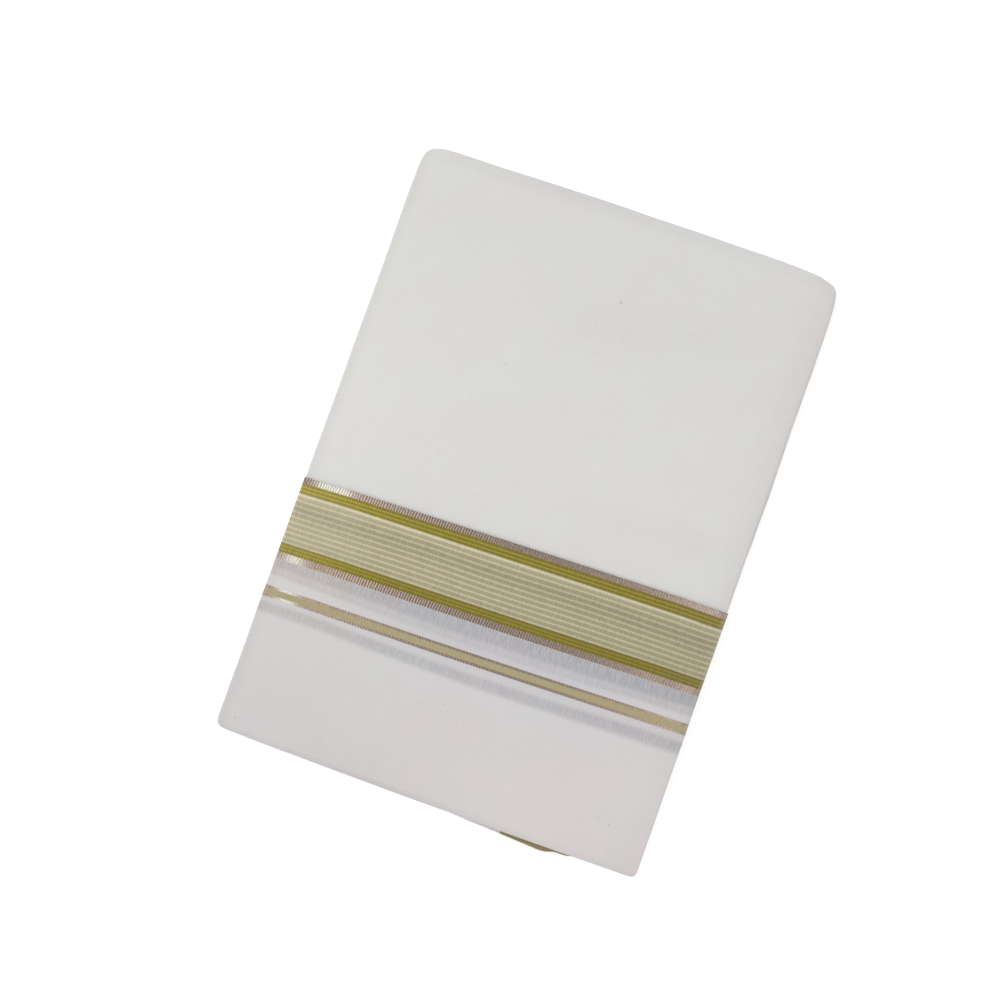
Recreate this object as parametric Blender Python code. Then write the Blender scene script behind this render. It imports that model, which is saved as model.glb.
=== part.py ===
"""A folded dhoti: one long woven cotton cloth with a border, pressed into a flat packet.

The cloth is folded in half four times along its length, into a strip of sixteen plies with a closed fold on the
left and open edges on the right. The strip is then folded across its length into four stretches. From the top
these are the flap with the border, the front panel, an inner stretch and the back panel. The flap and the front
panel meet in the upper fold at the bottom edge, the front and back panels meet round the top fold, and the back
panel turns up into the inner stretch at the lower fold of the bottom edge.

X runs along the border, Y from the bottom edge to the top fold, and Z up from the surface that it lies on.

Every piece is first worked out in a square stack, where the stretches are flat and the corners are right
angles. The function packet then carries each point to where it lies in the real packet, whose corners are
round, whose left side tapers, and whose rims are pressed thinner than its middle.
"""

import math

import bmesh
import bpy

MM = 0.001

# The cloth
PLY = 0.2625 * MM
PLIES = 16
STRIP = PLIES * PLY
WALL = 4 * PLY
GAP = 0.3 * MM
PITCH = STRIP + GAP

# The packet, from the middle of the square stack
HALF_WIDTH = 128.5 * MM
HALF_LENGTH = 181.5 * MM
TOP_LEFT_RADIUS = 8 * MM
TOP_RIGHT_RADIUS = 12 * MM
BOTTOM_LEFT_RADIUS = 7 * MM
BOTTOM_RIGHT_RADIUS = 5 * MM
LEFT_TAPER = 4.4 * MM
LEFT_SHORTENING = 0.019
RIM_DROP = 0.08
FOLDED_RIM = 14 * MM
OPEN_RIM = 26 * MM

# The flap and its border's selvedge
SELVEDGE = -21.9 * MM
SELVEDGE_SLOPE = 0.026
LIP = 22 * MM
PANEL_INSET_LEFT = 0.4 * MM
PANEL_INSET_RIGHT = 0.8 * MM

# The folds
SIDE_FOLD = STRIP / 2
BOTTOM_FOLD = (2 * STRIP + GAP) / 2
TOP_FOLD = (3 * STRIP + 2 * GAP) / 2
GROOVE = 2.6 * MM
CORE_CORNER = 5.5 * MM

# Heights of the undersides of the four stretches
BACK = 0.0
INNER = PITCH
FRONT = 2 * PITCH
FLAP = 3 * PITCH

# The open edges on the right, from the top of a stretch down: thickness in plies and how far it lies in
OPEN_EDGES = (
    {"plies": 8, "inset": 0.0 * MM},
    {"plies": 4, "inset": 1.3 * MM},
    {"plies": 4, "inset": 0.6 * MM},
)

# The sliver of the inner border: place along X and how far it reaches past the bottom edge
SLIVER = (
    {"x": 44 * MM, "reach": -0.9 * MM},
    {"x": 46 * MM, "reach": 0.0 * MM},
    {"x": 52 * MM, "reach": 1.3 * MM},
    {"x": 58 * MM, "reach": 2.1 * MM},
    {"x": 67 * MM, "reach": 2.7 * MM},
    {"x": 76 * MM, "reach": 2.3 * MM},
    {"x": 81 * MM, "reach": 1.2 * MM},
    {"x": 86 * MM, "reach": 1.1 * MM},
    {"x": 89 * MM, "reach": 0.3 * MM},
    {"x": 91 * MM, "reach": -0.9 * MM},
)
SLIVER_THICK = 1.0 * MM
SLIVER_ROOT = 1.9 * MM

# Half of the sliver's reach, which puts the origin under the middle of the whole packet
CENTRE_SHIFT = max(row["reach"] for row in SLIVER) / 2

# Places of the points across a stretch and along it, from each rim inwards
RIM_STEPS = (0.0, 2.5 * MM, 6 * MM, 11 * MM, 19 * MM, 34 * MM, 70 * MM)

# The flap's rows of points, by how far they lie below the selvedge
FLAP_ROWS = (0.0, 3 * MM, 7 * MM, 12 * MM, 17 * MM, LIP, 40 * MM, 75 * MM, 115 * MM, 140 * MM, 150 * MM)

# How finely the round forms are divided
CURL_STEPS = 4
NOSE_STEPS = 3
EDGE_STEPS = 4
EDGE_ANGLE = 72
FOLD_STEPS = 10
TOP_FOLD_STEPS = 12
CORNER_STEPS = 3
SIDE_SHARES = (0.08, 0.3, 0.7, 0.92)
LAYER_SHARES = (-0.96, -0.6, 0.0, 0.6, 0.96)
CAP_STEPS = (60 * MM, 24 * MM, 10 * MM)

# Faces that meet at a sharper angle than this, in degrees, keep a hard edge between them
HARD_EDGE = 40

COTTON = {"colour": (0.72, 0.71, 0.70, 1), "roughness": 0.85}
COTTON_LINED = {"colour": (0.66, 0.64, 0.58, 1), "roughness": 0.8}
OLIVE = {"colour": (0.30, 0.25, 0.08, 1), "roughness": 0.7}


def smooth(t):
    """A soft step from 0 to 1."""
    t = min(max(t, 0.0), 1.0)
    return t * t * (3 - 2 * t)


def corner_radius(x, y):
    if y > 0:
        return TOP_RIGHT_RADIUS if x > 0 else TOP_LEFT_RADIUS
    return BOTTOM_RIGHT_RADIUS if x > 0 else BOTTOM_LEFT_RADIUS


def rounded(x, y):
    """Draws a point of the square outline's corner in onto the round corner."""
    radius = corner_radius(x, y)
    past_x = abs(x) - (HALF_WIDTH - radius)
    past_y = abs(y) - (HALF_LENGTH - radius)
    if past_x <= 0 or past_y <= 0:
        return x, y
    pull_x = past_x * (1 - math.sqrt(1 - (past_y / radius) ** 2 / 2))
    pull_y = past_y * (1 - math.sqrt(1 - (past_x / radius) ** 2 / 2))
    return x - math.copysign(pull_x, x), y - math.copysign(pull_y, y)


def thinning(x, y):
    """The share of its height that the packet keeps, less towards the rims."""
    right = max(0.0, 1 - (HALF_WIDTH - x) / OPEN_RIM)
    left = max(0.0, 1 - (HALF_WIDTH + x) / FOLDED_RIM)
    ends = max(0.0, 1 - (HALF_LENGTH - abs(y)) / FOLDED_RIM)
    return 1 - RIM_DROP * min(1.0, right**2 + left**2 + ends**2)


def packet(x, y, z):
    """Carries a point of the square stack to its place in the packet."""
    z *= thinning(x, y)
    x, y = rounded(x, y)
    up = (y + HALF_LENGTH) / (2 * HALF_LENGTH)
    leftness = (HALF_WIDTH - x) / (2 * HALF_WIDTH)
    y *= 1 - LEFT_SHORTENING * leftness**2
    return x + LEFT_TAPER * up * leftness, y + CENTRE_SHIFT, z


def arc(x, y, radius, start, stop, steps):
    """Points on an arc, from one angle to the other, in degrees."""
    angles = [math.radians(start + (stop - start) * i / steps) for i in range(steps + 1)]
    return [(x + radius * math.cos(a), y + radius * math.sin(a)) for a in angles]


def between(low, high):
    """Places from low to high, closer together near both ends."""
    lower = [low + step for step in RIM_STEPS]
    upper = [high - step for step in reversed(RIM_STEPS)]
    return lower + [(low + high) / 2] + upper


def wall_section(left, right):
    """A panel's wall across its width, as (x, depth): it curls down round the closed fold on the left."""
    fold_x = left + SIDE_FOLD
    nose_x = right - WALL
    outer = arc(fold_x, SIDE_FOLD, SIDE_FOLD, 180, 270, CURL_STEPS)[:-1]
    outer += [(x, 0.0) for x in between(fold_x, nose_x)]
    outer += arc(nose_x, WALL, WALL, 270, 360, NOSE_STEPS)[1:]
    inner = [(x, WALL) for x in reversed(between(fold_x, nose_x))]
    inner += arc(fold_x, SIDE_FOLD, SIDE_FOLD - WALL, 270, 180, CURL_STEPS)[1:]
    return outer + inner


def strip_section(left, right):
    """All the plies of a stretch across its width, as (x, depth): one closed fold left, three open ones right."""
    fold_x = left + SIDE_FOLD
    widest = max(row["inset"] + row["plies"] * PLY / 2 for row in OPEN_EDGES)
    flat = between(fold_x, right - widest)
    points = arc(fold_x, SIDE_FOLD, SIDE_FOLD, 180, 270, CURL_STEPS)[:-1]
    points += [(x, 0.0) for x in flat]
    depth = 0.0
    for row in OPEN_EDGES:
        radius = row["plies"] * PLY / 2
        centre = right - row["inset"] - radius
        points += arc(centre, depth + radius, radius, -EDGE_ANGLE, EDGE_ANGLE, EDGE_STEPS)
        depth += 2 * radius
    points += [(x, STRIP) for x in reversed(flat)]
    points += arc(fold_x, SIDE_FOLD, SIDE_FOLD, 90, 180, CURL_STEPS)[1:-1]
    return points


def station(y, z, normal_y, normal_z, thickness=1.0, slope=0.0):
    return {
        "y": y,
        "z": z,
        "normal_y": normal_y,
        "normal_z": normal_z,
        "thickness": thickness,
        "slope": slope,
    }


def turn(y, z, radius, start, stop, steps):
    """Stations round a fold, on its outside."""
    places = arc(y, z, radius, start, stop, steps)
    return [station(a, b, (a - y) / radius, (b - z) / radius) for a, b in places]


def sweep(section, stations):
    """Rings of points, one for each station along a stretch of the cloth."""
    rings = []
    for at in stations:
        ring = []
        for x, depth in section:
            depth *= at["thickness"]
            y = at["y"] + at["slope"] * x - at["normal_y"] * depth
            ring.append(packet(x, y, at["z"] - at["normal_z"] * depth))
        rings.append(ring)
    return rings


def fill(body, loop):
    """Closes an end with a ladder of faces, from the loop's first and last points inwards."""
    low, high = 0, len(loop) - 1
    while high - low > 2:
        body.faces.new((loop[low], loop[low + 1], loop[high - 1], loop[high]))
        low += 1
        high -= 1
    if high - low == 2:
        body.faces.new(loop[low : high + 1])


def solid(name, rings, look):
    """One closed body through rings of points, with both ends filled."""
    body = bmesh.new()
    loops = [[body.verts.new(point) for point in ring] for ring in rings]
    count = len(loops[0])
    for first, second in zip(loops, loops[1:]):
        for i in range(count):
            j = (i + 1) % count
            body.faces.new((first[i], first[j], second[j], second[i]))
    for loop in (loops[0], loops[-1]):
        fill(body, loop)
    bmesh.ops.triangulate(body, faces=body.faces[:])
    bmesh.ops.recalc_face_normals(body, faces=body.faces[:])
    mesh = bpy.data.meshes.new(name)
    body.to_mesh(mesh)
    body.free()
    mesh.shade_smooth()
    mesh.set_sharp_from_angle(angle=math.radians(HARD_EDGE))
    piece = bpy.data.objects.new(name, mesh)
    bpy.context.scene.collection.objects.link(piece)
    mesh.materials.append(material(name, look))
    return piece


def material(name, look):
    made = bpy.data.materials.new(name)
    made.use_nodes = True
    shader = made.node_tree.nodes["Principled BSDF"]
    shader.inputs["Base Color"].default_value = look["colour"]
    shader.inputs["Roughness"].default_value = look["roughness"]
    return made


def border_flap():
    """The flap: a thin lip at the selvedge, sixteen plies over the front panel, then the upper bottom fold."""
    fold_y = -HALF_LENGTH + BOTTOM_FOLD
    fold_z = FLAP + STRIP - BOTTOM_FOLD
    length = SELVEDGE - fold_y
    stations = []
    for below in FLAP_ROWS:
        thick = WALL + (STRIP - WALL) * smooth(below / LIP)
        slope = SELVEDGE_SLOPE * (1 - below / length)
        stations.append(station(SELVEDGE - below, FLAP + thick, 0.0, 1.0, thick / STRIP, slope))
    stations += turn(fold_y, fold_z, BOTTOM_FOLD, 90, 270, FOLD_STEPS)
    return solid("border_flap", sweep(strip_section(-HALF_WIDTH, HALF_WIDTH), stations), COTTON_LINED)


def front_panel():
    """The outer plies of the front, from the bottom fold up and over the top fold to the surface below."""
    start = -HALF_LENGTH + BOTTOM_FOLD + GAP
    fold_y = HALF_LENGTH - TOP_FOLD
    stations = [station(y, FRONT + STRIP, 0.0, 1.0) for y in between(start, fold_y)[:-1]]
    stations += turn(fold_y, TOP_FOLD, TOP_FOLD, 90, -90, TOP_FOLD_STEPS)
    section = wall_section(-HALF_WIDTH + PANEL_INSET_LEFT, HALF_WIDTH - PANEL_INSET_RIGHT)
    return solid("front_panel", sweep(section, stations), COTTON)


def back_panel():
    """The outer plies of the back, flat on the surface, then the lower fold at the bottom edge."""
    start = HALF_LENGTH - TOP_FOLD - GAP
    fold_y = -HALF_LENGTH + BOTTOM_FOLD
    stations = [station(y, BACK, 0.0, -1.0) for y in reversed(between(fold_y, start)[1:])]
    stations += turn(fold_y, BOTTOM_FOLD, BOTTOM_FOLD, 270, 90, FOLD_STEPS)
    section = wall_section(-HALF_WIDTH + PANEL_INSET_LEFT, HALF_WIDTH - PANEL_INSET_RIGHT)
    return solid("back_panel", sweep(section, stations), COTTON)


def open_layers():
    """The open edges of the hidden layers on the right, from the bottom up: low, high and inset of each."""
    covered = WALL + GAP
    layers = []
    for base, upright in ((BACK, False), (INNER, True), (FRONT, True)):
        rows = reversed(OPEN_EDGES) if upright else OPEN_EDGES
        low = base
        for row in rows:
            high = low + row["plies"] * PLY
            layers.append({"low": low, "high": high, "inset": row["inset"]})
            low = high
    layers[0]["low"] += covered
    layers[-1]["high"] -= covered
    return layers


def round_inset(z, middle, radius):
    """How far a round edge of that radius lies in from its furthest reach, at a height."""
    return radius - math.sqrt(max(0.0, radius**2 - (z - middle) ** 2))


def left_inset(z):
    """The closed folds on the left, one for each stretch, and the room for the panels' curled walls."""
    base = next(b for b in (FRONT, INNER, BACK) if z >= b)
    middle = base + SIDE_FOLD
    if z > base + STRIP:
        return GROOVE
    under_wall = z > middle - GAP if base == FRONT else z < middle + GAP
    if base != INNER and under_wall:
        inner_radius = SIDE_FOLD - WALL - GAP
        return SIDE_FOLD - inner_radius + round_inset(z, middle, inner_radius)
    return min(GROOVE, round_inset(z, middle, SIDE_FOLD))


def bottom_inset(z):
    """The end of the hidden layers inside the lower bottom fold, and behind the upper one."""
    inner_radius = BOTTOM_FOLD - WALL - GAP
    if z < BOTTOM_FOLD + inner_radius:
        return WALL + GAP + round_inset(z, BOTTOM_FOLD, inner_radius)
    return BOTTOM_FOLD + GAP


def top_inset(z):
    """The end of the hidden layers inside the top fold."""
    return WALL + GAP + round_inset(z, TOP_FOLD, TOP_FOLD - WALL - GAP)


def core_ring(z, right_inset, extra):
    """The outline of the hidden layers at one height, drawn in by extra on every side."""
    left = -HALF_WIDTH + left_inset(z) + extra + PANEL_INSET_LEFT + CORE_CORNER
    right = HALF_WIDTH - right_inset - extra - PANEL_INSET_RIGHT - CORE_CORNER
    bottom = -HALF_LENGTH + bottom_inset(z) + extra + CORE_CORNER
    top = HALF_LENGTH - top_inset(z) - extra - CORE_CORNER
    centres = ((right, bottom), (right, top), (left, top), (left, bottom))
    corners = [
        arc(x, y, CORE_CORNER, 90 * i - 90, 90 * i, CORNER_STEPS) for i, (x, y) in enumerate(centres)
    ]
    ring = []
    for corner, following in zip(corners, corners[1:] + corners[:1]):
        ring += corner
        (x0, y0), (x1, y1) = corner[-1], following[0]
        for share in SIDE_SHARES:
            ring.append((x0 + (x1 - x0) * share, y0 + (y1 - y0) * share))
    return [packet(x, y, z) for x, y in ring]


def hidden_layers():
    """Every ply between the panels, as one rounded body with a layered edge."""
    rings = []
    for layer in open_layers():
        radius = (layer["high"] - layer["low"]) / 2
        middle = layer["low"] + radius
        for share in LAYER_SHARES:
            z = middle + share * radius
            rings.append((z, layer["inset"] + round_inset(z, middle, radius), 0.0))
    for base in (INNER, FRONT):
        rings.append((base - GAP / 2, GROOVE, 0.0))
    rings.sort()
    bottom_z, bottom_right, _ = rings[0]
    top_z, top_right, _ = rings[-1]
    rings = [(bottom_z, bottom_right, extra) for extra in CAP_STEPS] + rings
    rings += [(top_z, top_right, extra) for extra in reversed(CAP_STEPS)]
    return solid("hidden_layers", [core_ring(z, right, extra) for z, right, extra in rings], COTTON)


def inner_border_edge():
    """The sliver of an inner border, in the groove between the two folds at the bottom edge."""
    middle = FRONT - GAP / 2
    half = SLIVER_THICK / 2
    root_y = -HALF_LENGTH + SLIVER_ROOT
    rings = []
    for row in SLIVER:
        nose_y = -HALF_LENGTH - row["reach"] + half
        nose = arc(nose_y, middle, half, 90, 270, EDGE_STEPS)
        ring = nose + [(root_y, middle - half), (root_y, middle + half)]
        rings.append([packet(row["x"], y, z) for y, z in ring])
    return solid("inner_border_edge", rings, OLIVE)


def main():
    for old in list(bpy.data.objects):
        bpy.data.objects.remove(old, do_unlink=True)
    border_flap()
    front_panel()
    back_panel()
    hidden_layers()
    inner_border_edge()


main()
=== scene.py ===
"""The looks of a folded dhoti: one long woven cotton cloth with a border, pressed into a flat packet.

The strip of sixteen plies is swept along its whole folded path, from the selvedge of the flap to the end of
the inner stretch, and each piece is one side or one range of that sweep. Each point of the cloth carries its
place on the cloth as a UV, in metres across it and along it, so the weave and the stripes follow every fold.
"""

import math

import bpy
import numpy as np
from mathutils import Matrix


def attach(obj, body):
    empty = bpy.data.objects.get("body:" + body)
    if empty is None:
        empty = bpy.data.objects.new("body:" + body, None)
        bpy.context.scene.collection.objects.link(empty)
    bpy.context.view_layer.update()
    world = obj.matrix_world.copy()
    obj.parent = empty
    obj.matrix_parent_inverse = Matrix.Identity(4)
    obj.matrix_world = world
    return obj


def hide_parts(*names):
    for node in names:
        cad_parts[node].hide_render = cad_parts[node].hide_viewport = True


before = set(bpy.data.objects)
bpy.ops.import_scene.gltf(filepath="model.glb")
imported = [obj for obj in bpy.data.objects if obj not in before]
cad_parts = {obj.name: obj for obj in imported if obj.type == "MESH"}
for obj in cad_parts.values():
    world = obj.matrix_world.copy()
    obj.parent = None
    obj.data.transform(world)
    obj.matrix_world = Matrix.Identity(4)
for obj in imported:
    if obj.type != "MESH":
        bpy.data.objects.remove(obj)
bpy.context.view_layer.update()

MM = 0.001

# The cloth and the square stack that it is folded into, with the same measures as the part's source
PLY = 0.2625 * MM
STRIP = 16 * PLY
WALL = 4 * PLY
GAP = 0.3 * MM
PITCH = STRIP + GAP
HALF_WIDTH = 128.5 * MM
HALF_LENGTH = 181.5 * MM
LEFT_SHORTENING = 0.019
RIM_DROP = 0.08
FOLDED_RIM = 14 * MM
OPEN_RIM = 26 * MM
SELVEDGE = -21.9 * MM
SELVEDGE_SLOPE = 0.026
LIP = 22 * MM
CENTRE_SHIFT = 1.35 * MM
SIDE_FOLD = STRIP / 2
BOTTOM_FOLD = (2 * STRIP + GAP) / 2
TOP_FOLD = (3 * STRIP + 2 * GAP) / 2
BACK = 0.0
INNER = PITCH
FRONT = 2 * PITCH
FLAP = 3 * PITCH
FOLD_Y = -HALF_LENGTH + BOTTOM_FOLD
TOP_FOLD_Y = HALF_LENGTH - TOP_FOLD

# Where the inner stretch ends, close under the top fold
INNER_END_Y = TOP_FOLD_Y + 0.9 * MM

# The outline, drawn closer to the photo than that of the solids is
TOP_LEFT_RADIUS = 15 * MM
TOP_RIGHT_RADIUS = 20 * MM
BOTTOM_LEFT_RADIUS = 7 * MM
BOTTOM_RIGHT_RADIUS = 5 * MM
CORNER = 0.31
LEFT_TAPER = 3.7 * MM
LEFT_BULGE = 0.3 * MM
RIGHT_SHIFT = 0.5 * MM
RIGHT_SHIFT_MIDDLE = -30 * MM
RIGHT_SHIFT_REACH = 55 * MM
CROWN = 1.3 * MM
CROWN_LOSS = 0.6
CROWN_LOSS_START = 88 * MM
CROWN_LOSS_REACH = 40 * MM
CROWN_ARCH = 0.35 * MM
CROWN_START = 115 * MM
CROWN_REACH = 60 * MM

# The selvedge's form, also closer to the photo, and how far below it the form starts to fade
SELVEDGE_SKEW = -0.00005
SELVEDGE_BOW = 0.5 * MM
SELVEDGE_BOW_ZERO = 35 * MM
SELVEDGE_BOW_END = 75 * MM
SELVEDGE_TIPS = 0.5 * MM
SELVEDGE_TIPS_START = 96 * MM
SELVEDGE_TIPS_REACH = 32 * MM
SELVEDGE_DROP = 0.3 * MM
SELVEDGE_FADE = 72 * MM

# The sliver at the bottom edge: x and how far it reaches past that edge, both in millimetres
SLIVER = (
    (3, -3.4),
    (8, -0.9),
    (14, 0.9),
    (30, 1.8),
    (44, 2.3),
    (55, 2.9),
    (66, 3.5),
    (71, 3.8),
    (75, 3.5),
    (79, 2.2),
    (81, 1.8),
    (86, 1.8),
    (89, 1.4),
    (91, 0.5),
    (93, -3.4),
)
SLIVER_RADIUS = 0.5 * MM
SLIVER_ROOT = 5 * MM

# The open edges of a strip on the right, from the flap's upper side down: plies, and how far they lie in
OPEN_EDGES = (
    {"plies": 8, "inset": 0.0 * MM, "wander": 0.10 * MM},
    {"plies": 4, "inset": 1.2 * MM, "wander": 0.35 * MM},
    {"plies": 2, "inset": 0.5 * MM, "wander": 0.30 * MM},
    {"plies": 1, "inset": 1.3 * MM, "wander": 0.45 * MM},
    {"plies": 1, "inset": 0.8 * MM, "wander": 0.25 * MM},
)

# How they wander: the millimetres that a radian takes, the phase from one edge to the next, and the share
EDGE_WAVES = ((31, 1.7, 1.0), (12.5, 2.9, 0.6), (4.3, 4.1, 0.35))
EDGE_SWAY = 1.6

# How far the stack of plies stays beneath the outer ply: round the edges, over the flat, on the side that
# isn't covered, and at the selvedge
SKIN = 0.6 * PLY
UNDER_SKIN = 2 * PLY
BARE_SKIN = 0.05 * MM
STACK_START = 0.4 * MM

# The open edges of that stack: how far round they go in degrees, and the share of their radius
EDGE_ANGLE = 78
EDGE_ROUND = 0.98
COVERED_ROUND = 0.8

# How an outer ply ends: under the open fold, at its cut edge, and inside the closed fold
FOLD_TUCK = 5 * MM
CUT_EDGE = 0.1 * MM
TUCK_START = 8 * MM
TUCK = 24 * MM

# How finely the cloth is divided
FLAP_SPACING = 1.5 * MM
FLAP_PLY_SPACING = 2 * MM
PANEL_SPACING = 2.3 * MM
PANEL_PLY_SPACING = 3 * MM
STACK_SPACING = 9 * MM
SLIVER_SPACING = 1 * MM
FOLD_STEPS = 18
NOSE_STEPS = 10
EDGE_STEPS = 6
SLIVER_STEPS = 8

# The unevenness of pressed cloth: swells, creases, and slack between the plies
BROAD_SWELL = 0.30 * MM
FINE_SWELL = 0.06 * MM
SLACK = 0.22 * MM
CREASE_WIDTH = 3.2 * MM
CREASE_REACH = 25 * MM

# Creases: y, tilt, the x that each starts from, and its depth, in millimetres
CREASES = (
    (86, -0.05, 20, 0.16),
    (61, 0.04, 35, 0.12),
    (33, -0.02, 60, 0.14),
    (8, 0.03, 45, 0.10),
    (148, -0.01, -60, 0.10),
)

# How far the lower plies lie in at the sides and the ends, as shares of the height and in metres
UNDER_START = 0.45
UNDER_REACH = 0.3
SIDE_START = 110 * MM
SIDE_REACH = 18 * MM
SIDE_INSET = 0.5 * MM
SIDE_WANDER = 0.4 * MM
SIDE_RIPPLE = 0.12 * MM
END_START = 160 * MM
END_REACH = 20 * MM
END_INSET = 0.3 * MM
END_WANDER = 0.16 * MM
END_RIPPLE = 0.06 * MM

# The view in the photograph
VIEW_TURN = 19.3
VIEW_X = -16.9 * MM
VIEW_Y = -0.2 * MM
VIEW_HEIGHT = 1.25
VIEW_WIDTH = 575 * MM
VIEW_PLANE = 13 * MM
SENSOR = 36.0


def smooth(t):
    """A soft step from 0 to 1."""
    t = np.clip(t, 0.0, 1.0)
    return t * t * (3 - 2 * t)


def waves(seed, count, shortest, longest):
    """Smooth waves over a plane, the same on each run: wave numbers along x and y, and phase."""
    rng = np.random.default_rng(seed)
    lengths = rng.uniform(shortest, longest, count)
    turns = rng.uniform(0, 2 * math.pi, count)
    phases = rng.uniform(0, 2 * math.pi, count)
    return [
        (2 * math.pi * math.cos(t) / n, 2 * math.pi * math.sin(t) / n, p)
        for n, t, p in zip(lengths, turns, phases)
    ]


def rise(table, x, y):
    """The sum of those waves at each place, about -1 to 1."""
    total = sum(np.sin(kx * x + ky * y + p) for kx, ky, p in table)
    return total / math.sqrt(len(table))


BROAD = waves(3, 7, 60 * MM, 150 * MM)
FINE = waves(5, 9, 16 * MM, 42 * MM)
SIDES = waves(8, 6, 25 * MM, 90 * MM)
WARMTH = waves(13, 8, 24, 90)
COOLNESS = waves(17, 8, 24, 90)


def rounded(x, y):
    """Draws the square outline's corners in onto the round ones."""
    radius = np.where(
        y > 0,
        np.where(x > 0, TOP_RIGHT_RADIUS, TOP_LEFT_RADIUS),
        np.where(x > 0, BOTTOM_RIGHT_RADIUS, BOTTOM_LEFT_RADIUS),
    )
    past_x = np.maximum(0.0, np.abs(x) - (HALF_WIDTH - radius))
    past_y = np.maximum(0.0, np.abs(y) - (HALF_LENGTH - radius))
    pull_x = past_x * (1 - np.sqrt(1 - CORNER * np.minimum(1, past_y / radius) ** 2))
    pull_y = past_y * (1 - np.sqrt(1 - CORNER * np.minimum(1, past_x / radius) ** 2))
    return x - np.sign(x) * pull_x, y - np.sign(y) * pull_y


def thinning(x, y):
    """The share of its height that the packet keeps, less towards the rims."""
    right = np.maximum(0.0, 1 - (HALF_WIDTH - x) / OPEN_RIM)
    left = np.maximum(0.0, 1 - (HALF_WIDTH + x) / FOLDED_RIM)
    ends = np.maximum(0.0, 1 - (HALF_LENGTH - np.abs(y)) / FOLDED_RIM)
    return 1 - RIM_DROP * np.minimum(1.0, right**2 + left**2 + ends**2)


def settle(x, y, z):
    """The soft unevenness of pressed cloth: swells, faint creases and rims that aren't quite straight."""
    share = z / (FLAP + STRIP)
    swell = BROAD_SWELL * rise(BROAD, x, y) + FINE_SWELL * rise(FINE, x, y)
    crease = np.zeros_like(x)
    for at, tilt, left, deep in CREASES:
        off = (y - at * MM - tilt * x) / CREASE_WIDTH
        crease -= deep * MM * np.exp(-(off**2)) * smooth((x - left * MM) / CREASE_REACH)
    under = 1 - smooth((share - UNDER_START) / UNDER_REACH)
    rim = smooth((np.abs(x) - SIDE_START) / SIDE_REACH) * np.sign(x)
    inward = under * (SIDE_INSET + SIDE_WANDER * rise(SIDES, y, 9 * z)) + SIDE_RIPPLE * rise(SIDES, y, 5 * z)
    x = x - rim * inward
    rim = smooth((np.abs(y) - END_START) / END_REACH) * np.sign(y)
    inward = under * (END_INSET + END_WANDER * rise(SIDES, x, 7 * z)) + END_RIPPLE * rise(SIDES, x, 4 * z)
    y = y - rim * inward
    slack = 4 * share * (1 - share) * SLACK * rise(SIDES, x + 2 * y, 6 * z)
    return x, y, z + share * (swell + crease) + slack


def packet(x, y, z):
    """Carries points of the square stack to their places in the packet."""
    z = z * thinning(x, y)
    x, y = rounded(x, y)
    up = (y + HALF_LENGTH) / (2 * HALF_LENGTH)
    leftness = (HALF_WIDTH - x) / (2 * HALF_WIDTH)
    y = y * (1 - LEFT_SHORTENING * leftness**2)
    crown = CROWN * (1 - CROWN_LOSS * smooth((x - CROWN_LOSS_START) / CROWN_LOSS_REACH))
    crown = crown + CROWN_ARCH * (1 - (x / HALF_WIDTH) ** 2)
    y = y + crown * smooth((y - CROWN_START) / CROWN_REACH)
    shift = RIGHT_SHIFT * np.tanh((y - RIGHT_SHIFT_MIDDLE) / RIGHT_SHIFT_REACH)
    x = x + leftness * (LEFT_TAPER * up - LEFT_BULGE) + (1 - leftness) * shift
    return settle(x, y + CENTRE_SHIFT, z)


# The folded path. Each station is where the strip's upper side, as it lies in the flap, passes: its place
# (y, z), the way in through the strip, how far along the cloth it is from the selvedge, its slope across, the
# bow and the bent tips of the selvedge there, and 1 where no outer ply covers the stack.


def steps(low, high, spacing):
    return np.linspace(low, high, max(2, math.ceil(abs(high - low) / spacing)) + 1)


def station(y, z, in_y, in_z, along, slope=0.0, bow=0.0, tips=0.0, bare=0.0):
    names = ("y", "z", "in_y", "in_z", "along", "slope", "bow", "tips", "bare")
    return dict(zip(names, (y, z, in_y, in_z, along, slope, bow, tips, bare)))


def flap_stations(spacing):
    """From the selvedge down to the bottom fold."""
    length = SELVEDGE - FOLD_Y
    made = []
    for below in steps(0.0, length, spacing):
        thick = WALL + (STRIP - WALL) * float(smooth(below / LIP))
        fade = 1 - float(smooth((below - SELVEDGE_FADE) / (length - SELVEDGE_FADE)))
        slope = (SELVEDGE_SLOPE + SELVEDGE_SKEW * below / MM) * fade
        bow = SELVEDGE_BOW * (1 - min(below, SELVEDGE_BOW_END) / SELVEDGE_BOW_ZERO) * fade
        y = SELVEDGE - SELVEDGE_DROP * fade - below
        made.append(station(y, FLAP + thick, 0.0, -thick / STRIP, below, slope, bow, SELVEDGE_TIPS * fade))
    return made


def turn(y, z, radius, sign, start, stop, along, measured):
    """Stations round a fold. The strip's upper side has that radius, and sign is 1 where deeper is wider."""
    made = []
    for i in range(1, FOLD_STEPS + 1):
        share = i / FOLD_STEPS
        angle = math.radians(start + (stop - start) * share)
        c, s = math.cos(angle), math.sin(angle)
        length = along + measured * math.radians(abs(stop - start)) * share
        made.append(station(y + radius * c, z + radius * s, sign * c, sign * s, length))
    return made


def run(start_y, stop_y, z, in_z, along, spacing, bare=0.0):
    """Stations along a flat stretch."""
    places = steps(start_y, stop_y, spacing)[1:]
    return [station(y, z, 0.0, in_z, along + abs(y - start_y), bare=bare) for y in places]


def upper_bottom_fold(along):
    return turn(FOLD_Y, FLAP + STRIP - BOTTOM_FOLD, BOTTOM_FOLD, -1, 90, 270, along, BOTTOM_FOLD)


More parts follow.
